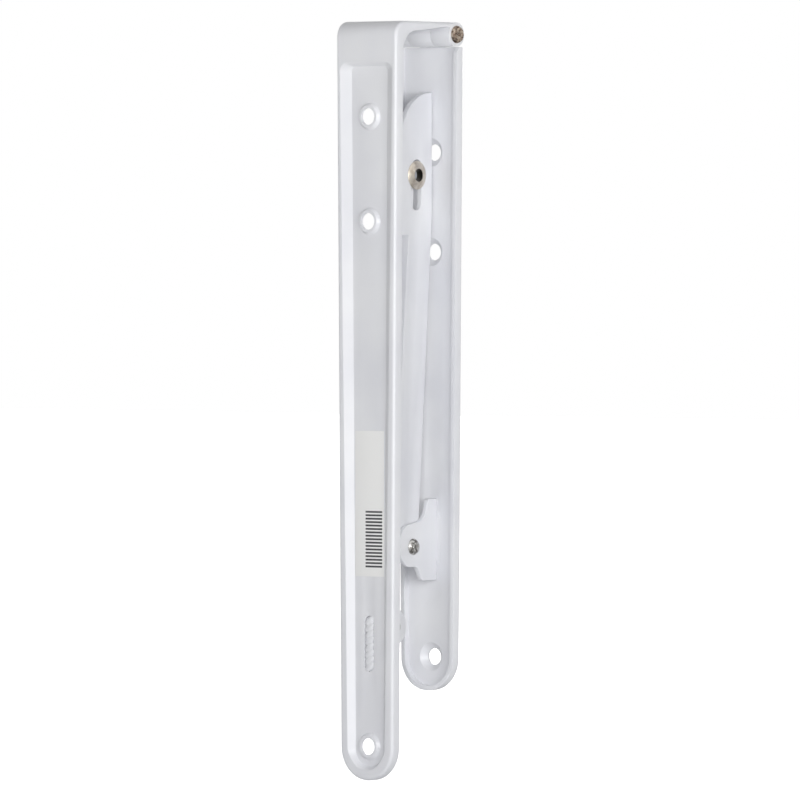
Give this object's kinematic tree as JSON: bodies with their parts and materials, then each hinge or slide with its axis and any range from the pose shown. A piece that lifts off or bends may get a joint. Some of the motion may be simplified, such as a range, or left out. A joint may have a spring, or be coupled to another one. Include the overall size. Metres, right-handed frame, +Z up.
{
  "type": "drop leaf table bracket",
  "caption": "Folding bracket of two pressed steel arms on a pin hinge, with a slotted two-link strut that holds a table leaf or shelf level and folds flat.",
  "frame": {"origin": "midway between the two upper wall screw holes, on the plane of the wall arm's screw bosses", "axes": "+X along the hinge pin, +Y into the wall, +Z up; the bracket is folded"},
  "size_m": [0.0334, 0.0441, 0.3001],
  "materials": {
    "powder_coat": "semi-gloss white powder coat",
    "bare_steel": "staked bare steel",
    "nickel_plate": "nickel plated",
    "label_paper": "blank paper"
  },
  "bodies": {
    "wall_arm": {"wall_arm": "powder_coat", "wall_lug": "powder_coat", "wall_lug_weld": "powder_coat", "lower_pivot_rivet": "bare_steel"},
    "shelf_arm": {"shelf_arm": "powder_coat", "shelf_lug": "powder_coat", "shelf_lug_weld": "powder_coat", "hinge_pin": "bare_steel", "upper_pivot_rivet": "bare_steel", "paper_label": "label_paper"},
    "lower_strut": {"lower_strut": "powder_coat"},
    "elbow_eyelet": {"elbow_eyelet": "nickel_plate"},
    "upper_strut": {"upper_strut": "powder_coat", "elbow_eyelet_tail": "nickel_plate"}
  },
  "joints": [
    {"name": "fold", "type": "hinge", "parent": "wall_arm", "child": "shelf_arm", "pos_m": [0, -0.00605, 0.0665], "axis": [-1, 0, 0], "range_deg": [0, 90]},
    {"name": "lower_strut_pivot", "type": "hinge", "parent": "wall_arm", "child": "lower_strut", "pos_m": [0, -0.01805, -0.1369], "axis": [1, 0, 0], "range_deg": [0, 46.8]},
    {"name": "upper_strut_pivot", "type": "hinge", "parent": "shelf_arm", "child": "upper_strut", "pos_m": [0, -0.02725, -0.1685], "axis": [-1, 0, 0], "range_deg": [0, 42]},
    {"name": "eyelet_slide", "type": "slide", "parent": "lower_strut", "child": "elbow_eyelet", "axis": [0, -0.0332, -0.9994], "range_m": [0, 0.01072]}
  ],
  "couplings": [
    {"joint": "lower_strut_pivot", "follows": "fold", "ratio": 0.51885},
    {"joint": "upper_strut_pivot", "follows": "fold", "ratio": 0.46572},
    {"joint": "eyelet_slide", "follows": "fold", "m_per_rad": 0.0067953}
  ]
}
